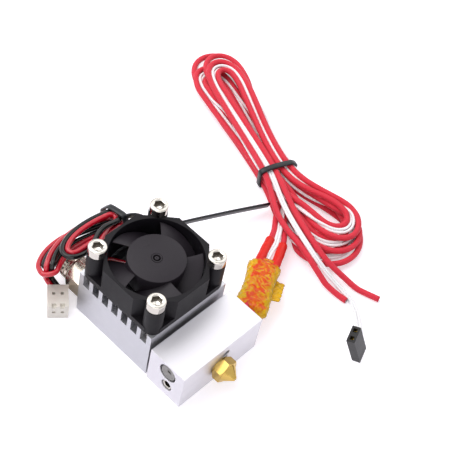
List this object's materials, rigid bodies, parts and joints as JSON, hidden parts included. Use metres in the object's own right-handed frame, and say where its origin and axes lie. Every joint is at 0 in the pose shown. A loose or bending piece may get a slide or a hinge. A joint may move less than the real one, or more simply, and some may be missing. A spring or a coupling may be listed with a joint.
{
  "type": "hotend assembly",
  "caption": "Two-into-one hotend for a 3D printer: finned block with fan, heater block with brass nozzle, push-in tube fittings and bundled leads.",
  "frame": {"origin": "centre of the heatsink's square back face, which lies on the table", "axes": "+Z out of the back face to the fan, -Y along the nozzle, +Y out of the tube fittings, +X to the side where the heater wires leave"},
  "size_m": [0.1203, 0.1225, 0.031],
  "materials": {
    "heatsink_aluminium": "satin milled",
    "block_aluminium": "bright polished",
    "stainless": "turned",
    "nozzle_brass": "turned",
    "screw_nickel": "bright nickel plate",
    "fitting_nickel": "nickel plated brass",
    "black_oxide": "black oxide",
    "fan_black": "moulded, fine satin",
    "magnet": "bonded ferrite",
    "sintered_bronze": "sintered",
    "lamination": "stacked sheets",
    "enamelled_copper": "enamelled wire",
    "board_green": "coated laminate",
    "white_tube": "fluoropolymer",
    "seal_rubber": "moulded",
    "collet_black": "moulded acetal",
    "braid_red": "braided glass fibre",
    "braid_white": "braided glass fibre",
    "sleeve_red": "silicone coated",
    "film_amber": "polyimide tape",
    "lead_red": "PVC",
    "lead_black": "PVC",
    "tie_black": "moulded nylon",
    "plug_ivory": "moulded nylon",
    "connector_black": "moulded",
    "contact_tin": "tin plated",
    "contact_gold": "flash plated"
  },
  "bodies": {
    "body": {"heatsink": "heatsink_aluminium", "heat_break_left": "stainless", "heat_break_right": "stainless", "tube_liner_left": "white_tube", "tube_liner_right": "white_tube", "heater_block": "block_aluminium", "nozzle": "nozzle_brass", "heater_cartridge": "stainless", "thermistor": "stainless", "cartridge_clamp_screw": "black_oxide", "channel_plug_screw": "screw_nickel", "fan_frame": "fan_black", "fan_bearing": "sintered_bronze", "fan_stator_core": "lamination", "fan_stator_coils": "enamelled_copper", "fan_circuit_board": "board_green", "fan_screws": "screw_nickel", "tube_fitting_left": "fitting_nickel", "tube_fitting_right": "fitting_nickel", "fitting_seal_left": "seal_rubber", "fitting_seal_right": "seal_rubber", "grip_ring_left": "stainless", "grip_ring_right": "stainless", "cartridge_leads": "braid_red", "thermistor_leads": "braid_white", "insulating_tape": "film_amber", "heat_sleeve_left": "sleeve_red", "heat_sleeve_right": "sleeve_red", "heater_lead_run": "braid_red", "wire_hank": "braid_red", "hank_tie": "tie_black", "heater_tail_left": "braid_red", "heater_tail_right": "braid_red", "thermistor_tail": "braid_white", "thermistor_connector": "connector_black", "thermistor_contacts": "contact_gold", "fan_lead_exit": "lead_red", "fan_lead_coil": "lead_red", "fan_lead_end": "lead_black", "fan_plug": "plug_ivory", "fan_plug_contacts": "contact_tin", "cable_tie": "tie_black", "cable_tie_tail": "tie_black"},
    "rotor": {"fan_rotor": "fan_black", "fan_yoke_ring": "stainless", "fan_magnet": "magnet", "fan_shaft": "stainless", "fan_shaft_clip": "white_tube"},
    "collet_left": {"release_collet_left": "collet_black"},
    "collet_right": {"release_collet_right": "collet_black"}
  },
  "joints": [
    {"name": "rotor_spin", "type": "hinge", "parent": "body", "child": "rotor", "pos_m": [0, 0, 0.024], "axis": [0, 0, 1], "continuous": true},
    {"name": "collet_left_slide", "type": "slide", "parent": "body", "child": "collet_left", "axis": [0, -1, 0], "range_m": [0, 0.001], "stiffness_N_per_m": 300},
    {"name": "collet_right_slide", "type": "slide", "parent": "body", "child": "collet_right", "axis": [0, -1, 0], "range_m": [0, 0.001], "stiffness_N_per_m": 300}
  ]
}
